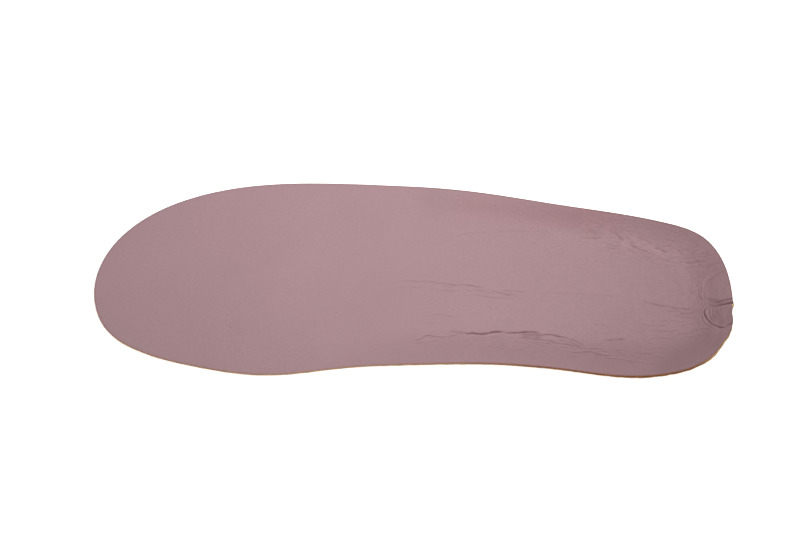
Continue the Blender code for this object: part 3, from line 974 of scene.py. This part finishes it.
class Nodes:
    """A node tree, with short ways to add the nodes that the pieces use."""

    def __init__(self, tree):
        self.tree = tree

    def feed(self, item, inputs):
        """Set a node's inputs to values, or link them to sockets or to other nodes' first outputs."""
        for key, value in inputs.items():
            if isinstance(value, bpy.types.Node):
                value = value.outputs[0]
            if isinstance(value, bpy.types.NodeSocket):
                self.tree.links.new(value, item.inputs[key])
            else:
                item.inputs[key].default_value = value
        return item

    def add(self, kind, inputs=None, **settings):
        """A new node with its settings and inputs."""
        item = self.tree.nodes.new(kind)
        for key, value in settings.items():
            setattr(item, key, value)
        return self.feed(item, inputs or {})

    def calc(self, operation, a, b=0.0):
        """One operation on one or two values."""
        return self.add("ShaderNodeMath", {0: a, 1: b}, operation=operation)

    def times(self, a, b):
        """The product of two values."""
        return self.calc("MULTIPLY", a, b)

    def minus(self, a, b):
        """The first value less the second."""
        return self.calc("SUBTRACT", a, b)

    def plus(self, first, *others):
        """All the values together."""
        for other in others:
            first = self.calc("ADD", first, other)
        return first

    def scaled(self, vector, scale):
        """A vector or colour, made longer or brighter."""
        return self.add("ShaderNodeVectorMath", {0: vector, "Scale": scale}, operation="SCALE")

    def mix(self, factor, a, b, kind="RGBA"):
        """From a to b by the factor."""
        inputs = {"Factor": factor, "A": a, "B": b}
        return self.add("ShaderNodeMix", inputs, data_type=kind).outputs["Result"]

    def ramp(self, value, low, high, start=0.0, end=1.0, kind="SMOOTHSTEP"):
        """start where the value is low, end where it is high."""
        inputs = {"Value": value, "From Min": low, "From Max": high, "To Min": start, "To Max": end}
        return self.add("ShaderNodeMapRange", inputs, interpolation_type=kind)

    def attribute(self, name):
        """A mark on the piece's points."""
        return self.add("ShaderNodeAttribute", attribute_name=name).outputs["Fac"]

    def clouds(self, vector, size, detail=CLOUD_DETAIL):
        """Soft noise of one size."""
        return self.add("ShaderNodeTexNoise", {"Vector": vector, "Scale": 1 / size, "Detail": detail})

    def cells(self, vector, per_metre, feature, **settings):
        """Cells of one size."""
        inputs = {"Vector": vector, "Scale": per_metre}
        return self.add("ShaderNodeTexVoronoi", inputs, feature=feature, **settings)

    def bent(self, vector, per_metre, amount):
        """A place moved a little by noise, which bends the edges of cells."""
        inputs = {"Vector": vector, "Scale": per_metre, "Detail": CLOUD_DETAIL}
        warp = self.add("ShaderNodeTexNoise", inputs)
        return self.mix(amount, vector, warp.outputs["Color"], "VECTOR")

    def bump(self, height, distance, strength, **inputs):
        """Fine relief."""
        return self.add("ShaderNodeBump",
                        {"Height": height, "Distance": distance, "Strength": strength, **inputs})


def new_tree(name, kind, inputs, outputs):
    """An empty node group with named sockets, and the sockets that bring its inputs."""
    tree = bpy.data.node_groups.new(name, kind)
    for in_out, sockets in (("INPUT", inputs), ("OUTPUT", outputs)):
        for label, socket in sockets.items():
            tree.interface.new_socket(label, in_out=in_out, socket_type="NodeSocket" + socket)
    return Nodes(tree), tree.nodes.new("NodeGroupInput").outputs


def fibre_tree():
    """Geometry Nodes: short bent fibres that stand out along a loop of the cut edge."""
    n, given = new_tree(
        "edge fibres", "GeometryNodeTree",
        {"Geometry": "Geometry", "Count": "Int", "Length": "Float", "Scatter": "Float", "Seed": "Int",
         "Material": "Material"},
        {"Geometry": "Geometry"})
    loop = n.add("GeometryNodeMeshToCurve", {"Mesh": given["Geometry"]})
    points = n.add("GeometryNodeResampleCurve", {"Curve": loop, "Count": given["Count"]})
    bend = n.add("GeometryNodeCurveQuadraticBezier", {"Resolution": FIBRE_STEPS, **FIBRE_BEND})
    thin = n.minus(1.0, n.add("GeometryNodeSplineParameter"))
    tapered = n.add("GeometryNodeSetCurveRadius", {"Curve": bend, "Radius": thin})
    ring = n.add("GeometryNodeCurvePrimitiveCircle", {"Resolution": FIBRE_SIDES, "Radius": FIBRE_RADIUS})
    fibre = n.add("GeometryNodeCurveToMesh", {"Curve": tapered, "Profile Curve": ring, "Fill Caps": True})
    out = n.add("GeometryNodeInputNamedAttribute", {"Name": "out"}, data_type="FLOAT_VECTOR")
    stray = n.add("FunctionNodeRandomValue", {"Min": (-1, -1, -1), "Max": (1, 1, 1), "Seed": given["Seed"]},
                  data_type="FLOAT_VECTOR")
    aim = n.add("ShaderNodeVectorMath", {0: out, 1: n.scaled(stray, given["Scatter"])}, operation="ADD")
    turn = n.add("FunctionNodeAlignRotationToVector", {"Vector": aim}, axis="Z")
    least, most = 2, 3
    share = n.add("FunctionNodeRandomValue", {least: FIBRE_SHORTEST, most: 1.0, "Seed": given["Seed"]},
                  data_type="FLOAT")
    size = n.times(share.outputs[1], given["Length"])
    placed = n.add("GeometryNodeInstanceOnPoints",
                   {"Points": points, "Instance": fibre, "Rotation": turn, "Scale": size})
    real = n.add("GeometryNodeRealizeInstances", {"Geometry": placed})
    dressed = n.add("GeometryNodeSetMaterial", {"Geometry": real, "Material": given["Material"]})
    n.add("NodeGroupOutput", {"Geometry": dressed})
    return n.tree


def edge_fibres(points, out, material):
    """Loose fibres along the leather's cut edge, as a plain mesh."""
    count = len(points)
    mesh = bpy.data.meshes.new("fringe")
    mesh.from_pydata(points.tolist(), [(i, (i + 1) % count) for i in range(count)], [])
    set_mark(mesh, "out", "FLOAT_VECTOR", "vector", out)
    loop = put_in_scene("fringe", mesh)
    tree = fibre_tree()
    modifier = loop.modifiers.new("edge fibres", "NODES")
    modifier.node_group = tree
    wanted = {"Count": FIBRE_COUNT, "Length": FIBRE_LENGTH, "Scatter": FIBRE_SCATTER, "Seed": FIBRE_SEED,
              "Material": material}
    for socket in tree.interface.items_tree:
        if socket.in_out == "INPUT" and socket.name in wanted:
            modifier[socket.identifier] = wanted[socket.name]
    bpy.context.view_layer.update()
    made = bpy.data.meshes.new_from_object(loop.evaluated_get(bpy.context.evaluated_depsgraph_get()))
    bpy.data.objects.remove(loop)
    made.name = "edge_fibres"
    return put_in_scene("edge_fibres", made)


def mottle_group():
    """Uneven colour: darkens and lightens a colour in soft patches of one size."""
    n, given = new_tree("uneven colour", "ShaderNodeTree",
                        {"Vector": "Vector", "Color": "Color", "Patch": "Float", "Amount": "Float"},
                        {"Color": "Color", "Mask": "Float"})
    per_metre = n.calc("DIVIDE", 1.0, given["Patch"])
    cloud = n.add("ShaderNodeTexNoise", {"Vector": given["Vector"], "Scale": per_metre, **MOTTLE_NOISE})
    swing = n.times(n.minus(cloud, 0.5), 2.0)
    factor = n.plus(n.times(swing, given["Amount"]), 1.0)
    n.add("NodeGroupOutput", {"Color": n.scaled(given["Color"], factor), "Mask": cloud})
    return n.tree


def fibre_group():
    """Matted fibres: a fine stringy mask and height."""
    n, given = new_tree("matted fibres", "ShaderNodeTree", {"Vector": "Vector", "Size": "Float"},
                        {"Mask": "Float", "Height": "Float"})
    per_metre = n.calc("DIVIDE", 1.0, given["Size"])
    warp = n.add("ShaderNodeTexNoise", {"Vector": given["Vector"], "Scale": per_metre, **TUFT_NOISE})
    strings = n.add("ShaderNodeTexNoise", {"Vector": given["Vector"], **STRING_NOISE,
                                           "Scale": n.times(per_metre, STRINGS_PER_TUFT)},
                    noise_type="RIDGED_MULTIFRACTAL")
    mask = n.ramp(warp, *TUFT_SIDES, kind="LINEAR")
    height = n.plus(n.times(strings, STRING_HEIGHT), mask)
    n.add("NodeGroupOutput", {"Mask": mask, "Height": height})
    return n.tree


def new_material(name):
    """A material with only its shader and output: also its nodes, its shader and its object coordinates."""
    material = bpy.data.materials.new(name)
    material.use_nodes = True
    material.node_tree.nodes.clear()
    n = Nodes(material.node_tree)
    shader = n.add("ShaderNodeBsdfPrincipled")
    n.add("ShaderNodeOutputMaterial", {"Surface": shader})
    return material, n, shader, n.add("ShaderNodeTexCoord").outputs["Object"]


def crease_lines(n, place, deep):
    """The fine dark lines in the creases, with frayed sides."""
    fray = n.add("ShaderNodeMath", {0: n.clouds(place, FRAY_SIZE), 1: FRAY, 2: -FRAY / 2},
                 operation="MULTIPLY_ADD")
    gap = n.plus(n.calc("ABSOLUTE", n.attribute("gap")), fray)
    return n.times(n.ramp(gap, *LINE_SIDES, 1.0, 0.0), deep)


def drawn_hairs(n, apart):
    """Hair lines level with the rim, where the heel's wall is drawn up."""
    level = n.add("ShaderNodeCombineXYZ", {"X": n.times(apart["X"], HAIRS_ALONG),
                                           "Y": n.times(apart["Y"], HAIRS_ALONG),
                                           "Z": n.times(n.attribute("inward"), HAIRS_INWARD)})
    gap = n.calc("ABSOLUTE", n.minus(n.clouds(level, 1.0), 0.5))
    return n.times(n.ramp(gap, 0.0, HAIR_WIDTH, 1.0, 0.0), n.attribute("drawn"))


def fine_rucks(n):
    """Fine folds along the rucked bands."""
    along = n.times(n.attribute("ruck_along"), RUCK_STRETCH)
    vector = n.add("ShaderNodeCombineXYZ", {"X": along, "Y": n.attribute("ruck_across")})
    return n.clouds(vector, RUCK_SIZE, RUCK_DETAIL)


def dark_specks(n, place):
    """A few small specks, far apart."""
    cell = n.cells(place, 1 / SPECK_CELL, "F1", voronoi_dimensions="2D")
    lot = n.add("ShaderNodeSeparateColor", {"Color": cell.outputs["Color"]})
    return n.times(n.ramp(cell, *SPECK_SIDES, 1.0, 0.0), n.calc("GREATER_THAN", lot, SPECK_LOT))


def pebbles_and_pores(n, place):
    """Height of the leather's own grain."""
    pebble = n.cells(n.bent(place, *PEBBLE_BEND), PEBBLES, "DISTANCE_TO_EDGE")
    pore = n.cells(place, PORES, "F1")
    return n.plus(n.times(n.ramp(pebble, *PEBBLE_SIDES), PEBBLE_HEIGHT),
                  n.times(n.ramp(pore, *PORE_SIDES), PORE_HEIGHT),
                  n.times(n.clouds(place, POWDER_SIZE), POWDER_HEIGHT))


def mauve_leather(mottle):
    """The dyed grain side: fine pebbles and pores, soft satin, duller in the creases and darker there with
    dirt and painted shade; painted shade along the rim and painted light and shade in bands.
    """
    material, n, shader, place = new_material("mauve leather")
    apart = n.add("ShaderNodeSeparateXYZ", {"Vector": place}).outputs
    rear = n.ramp(apart["X"], *REAR_SPAN, 1.0, 0.0)
    deep, shade, ruck = (n.attribute(name) for name in ("deep", "shade", "ruck"))
    line = crease_lines(n, place, deep)
    hair = drawn_hairs(n, apart)
    rucks = fine_rucks(n)
    drag = n.add("ShaderNodeVectorMath", {0: place, 1: SPECKLE_DRAG}, operation="MULTIPLY")
    speckle = n.mix(rear, n.clouds(place, SPECKLE_SIZE), n.clouds(drag, SPECKLE_SIZE), "FLOAT")

    dye = n.mix(n.attribute("blush"), MAUVE, PINK)
    broad = n.add("ShaderNodeGroup", {"Vector": place, "Color": dye, "Patch": MAUVE_PATCH,
                                      "Amount": MAUVE_SWING}, node_tree=mottle)
    # Speckle tint, plus a lighter colour on the crease shoulders: partly wear, partly a painted highlight
    tint = n.plus(n.ramp(speckle, *CLOUD_SIDES, *SPECKLE_TINT), n.times(n.attribute("crest"), CREST_WEAR_AND_HIGHLIGHT),
                  # Painted shade in the rucks' hollows and a painted highlight on their tops
                  n.times(ruck, n.ramp(rucks, *CLOUD_SIDES, *RUCK_SHADE_AND_HIGHLIGHT)))
    # Less the tone mark: bands of painted shade, and of painted light where negative
    tinted = n.scaled(broad, n.minus(tint, n.attribute("tone")))
    # The crease lines darken with dirt and painted shade
    crease_dirt_and_shade = n.times(line, n.plus(n.times(deep, DEEP_DIRT_AND_SHADE), LINE_DIRT_AND_SHADE))
    # Painted shade in a thin band along the rim, stronger at the heel
    rim = n.times(n.ramp(n.attribute("inward"), 0.0, PAINTED_RIM_SHADE_WIDTH, 1.0, 0.0),
                  n.plus(n.times(rear, PAINTED_REAR_RIM_SHADE), PAINTED_RIM_SHADE))
    # Dirt and painted shade together: crease lines, painted shade around the creases and along the rim, hair
    # lines and dark specks
    dirt_and_shade = n.plus(crease_dirt_and_shade, n.times(shade, PAINTED_CREASE_SHADE), n.times(hair, HAIR_SOIL), rim,
                  n.times(dark_specks(n, place), SPECK_SOIL))
    # All the darkening goes towards the crease colour of dirt and painted shade
    dark = n.mix(dirt_and_shade, tinted, n.mix(deep, FAINT_CRACK_AND_SHADE, DEEP_CRACK_AND_SHADE))
    worn = n.mix(n.ramp(n.attribute("pale"), *BARE_SIDES), dark, BARE_HIDE)

    rough = n.plus(n.ramp(broad.outputs["Mask"], 0.0, 1.0, *SATIN, "LINEAR"), n.times(shade, SHADE_DULL))
    cut_in = n.minus(n.times(n.times(ruck, rucks), RUCK_HEIGHT), n.plus(line, n.times(hair, HAIR_HEIGHT)))
    fine = n.plus(pebbles_and_pores(n, place), n.times(speckle, SPECKLE_HEIGHT))
    relief = n.bump(fine, *GRAIN_BUMP, Normal=n.bump(cut_in, *CREASE_BUMP))
    n.feed(shader, {"Base Color": worn, "Normal": relief, "Roughness": rough,
                    "Specular IOR Level": SATIN_GLOSS})
    return material


def raw_edge(mottle, fibres):
    """The cut edge and flesh side: undyed brown hide, paler just under the dyed face."""
    material, n, shader, place = new_material("raw hide")
    cut = n.attribute("cut")
    strings = n.add("ShaderNodeGroup", {"Vector": place, "Size": HIDE_TUFT}, node_tree=fibres)
    tone = n.mix(strings, HIDE_DARK, HIDE_LIGHT)
    layered = n.mix(n.ramp(cut, *PALE_LAYER, PALE_LAYER_SHARE, 0.0, "LINEAR"), tone, HIDE_PALE)
    lip = n.ramp(cut, *GOLD_LIP, 0.0, GOLD_LIP_SHARE, "LINEAR")
    gilded = n.mix(n.calc("MAXIMUM", lip, n.attribute("pale")), layered, HIDE_GOLD)
    patchy = n.add("ShaderNodeGroup", {"Vector": place, "Color": gilded, "Patch": HIDE_PATCH,
                                       "Amount": HIDE_SWING}, node_tree=mottle)
    n.feed(shader, {"Base Color": patchy, "Normal": n.bump(strings.outputs["Height"], *HIDE_BUMP),
                    "Roughness": HIDE_ROUGH, "Specular IOR Level": HIDE_GLOSS})
    return material


def cork_base(mottle, fibres):
    """Ground cork bound in latex: brown granules of several tones, matte."""
    material, n, shader, place = new_material("cork and latex")
    bent = n.bent(place, *GRANULE_BEND)
    granule = n.cells(bent, GRANULES, "F1")
    lot = n.add("ShaderNodeSeparateColor", {"Color": granule.outputs["Color"]})
    tone = n.add("ShaderNodeValToRGB", {"Fac": lot})
    tones = tone.color_ramp.elements
    tones[0].color, tones[1].color = CORK_DARKEST, CORK_PALEST
    for at, colour in CORK_TONES:
        tones.new(at).color = colour
    joint = n.ramp(n.cells(bent, GRANULES, "DISTANCE_TO_EDGE"), 0.0, JOINT_WIDTH)
    seamed = n.mix(joint, LATEX, tone)
    patchy = n.add("ShaderNodeGroup", {"Vector": place, "Color": seamed, "Patch": CORK_PATCH,
                                       "Amount": CORK_SWING}, node_tree=mottle)
    strings = n.add("ShaderNodeGroup", {"Vector": place, "Size": CORK_TUFT}, node_tree=fibres)
    height = n.plus(joint, n.times(strings.outputs["Height"], CORK_TUFT_HEIGHT))
    n.feed(shader, {"Base Color": patchy, "Normal": n.bump(height, *CORK_BUMP),
                    "Roughness": CORK_ROUGH, "Specular IOR Level": CORK_GLOSS})
    return material


def set_camera():
    """The photo's view: from the arch side and above, through a long lens."""
    data = bpy.data.cameras.new("camera")
    data.sensor_width = SENSOR
    data.lens = SENSOR * CAMERA_DISTANCE * PIXELS_PER_METRE / PICTURE_WIDTH
    data.clip_end = CAMERA_REACH
    camera = put_in_scene("camera", data)
    back = Vector((0, math.cos(CAMERA_ELEVATION), math.sin(CAMERA_ELEVATION)))
    camera.location = CAMERA_AIM + CAMERA_DISTANCE * back
    camera.rotation_euler = back.to_track_quat("Z", "Y").to_euler()
    bpy.context.scene.camera = camera


def set_floor():
    """A pale floor that glows a little, and is see-through from below."""
    material, n, shader, _ = new_material("pale floor")
    output = shader.outputs["BSDF"].links[0].to_node
    below = n.add("ShaderNodeNewGeometry").outputs["Backfacing"]
    sides = n.add("ShaderNodeMixShader", {0: below, 1: shader, 2: n.add("ShaderNodeBsdfTransparent")})
    n.feed(output, {"Surface": sides})
    n.feed(shader, {"Base Color": FLOOR_COLOUR, "Roughness": FLOOR_ROUGH, "Emission Color": WHITE,
                    "Emission Strength": FLOOR_GLOW})
    mesh = bpy.data.meshes.new("floor")
    corners = ((-1, -1), (1, -1), (1, 1), (-1, 1))
    mesh.from_pydata([(x * FLOOR_HALF, y * FLOOR_HALF, FLOOR_LEVEL) for x, y in corners], [], [(0, 1, 2, 3)])
    mesh.materials.append(material)
    floor = put_in_scene("floor", mesh)


def set_softbox():
    """One round softbox over the heel."""
    data = bpy.data.lights.new("softbox", "AREA")
    data.shape = "DISK"
    data.spread = SOFTBOX_SPREAD
    data.size = SOFTBOX_SIZE
    data.energy = SOFTBOX_POWER
    lamp = put_in_scene("softbox", data)
    lamp.location = SOFTBOX_PLACE
    lamp.rotation_euler = (SOFTBOX_PLACE - SOFTBOX_AIM).to_track_quat("Z", "Y").to_euler()


def set_world():
    """An even white room."""
    world = bpy.data.worlds.new("studio")
    world.use_nodes = True
    room = world.node_tree.nodes["Background"].inputs
    room["Color"].default_value = WHITE
    room["Strength"].default_value = ROOM_LIGHT
    bpy.context.scene.world = world
    bpy.context.scene.view_settings.view_transform = "Standard"


def main():
    """Make the pieces and their setting, attach them to the root body and hide the CAD parts they replace."""
    mottle, fibres = mottle_group(), fibre_group()
    raw = raw_edge(mottle, fibres)
    cover, fringe, fringe_out = leather_cover(mauve_leather(mottle), raw)
    strands = edge_fibres(fringe, fringe_out, raw)
    footbed = cork_footbed(cork_base(mottle, fibres))
    set_camera()
    set_floor()
    set_world()
    set_softbox()

    for piece, node, finish in ((cover, "leather_cover", "cover_leather"), (footbed, "footbed", "base_cork")):
        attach(piece, "root")
        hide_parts(node)
    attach(strands, "root")


main()
